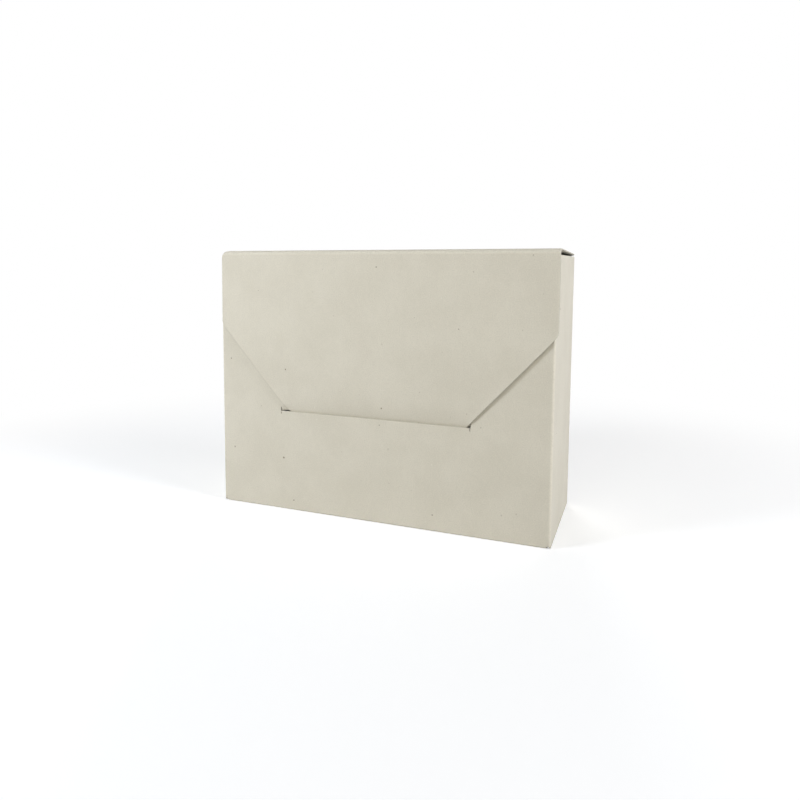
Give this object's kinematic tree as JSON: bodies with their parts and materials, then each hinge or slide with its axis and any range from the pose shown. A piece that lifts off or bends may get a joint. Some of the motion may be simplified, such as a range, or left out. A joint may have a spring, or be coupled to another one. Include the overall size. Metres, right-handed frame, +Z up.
{
  "type": "archive storage box",
  "caption": "Upright archive box folded from one sheet of grey-beige solid board, with a hinged lid whose tapered closure flap tucks into a slit in the front wall.",
  "frame": {"origin": "middle of the underside of the closed box's bounding box", "axes": "+X to the right along the front, +Y from the front wall to the back wall, +Z up"},
  "size_m": [0.3272, 0.1232, 0.25],
  "materials": {
    "wall_board": "uncoated matt solid board, recycled fibre flecks",
    "lid_board": "uncoated matt solid board, recycled fibre flecks",
    "flap_board": "uncoated matt solid board, recycled fibre flecks"
  },
  "bodies": {
    "box": {"box_body": "wall_board"},
    "lid": {"lid_panel": "lid_board"},
    "flap": {"closure_flap": "flap_board"}
  },
  "joints": [
    {"name": "lid_hinge", "type": "hinge", "parent": "box", "child": "lid", "pos_m": [0, 0.06098, 0.24936], "axis": [-1, 0, 0], "range_deg": [0, 180]},
    {"name": "flap_hinge", "type": "hinge", "parent": "lid", "child": "flap", "pos_m": [0, -0.05876, 0.24868], "axis": [-1, 0, 0], "range_deg": [0, 120]}
  ]
}
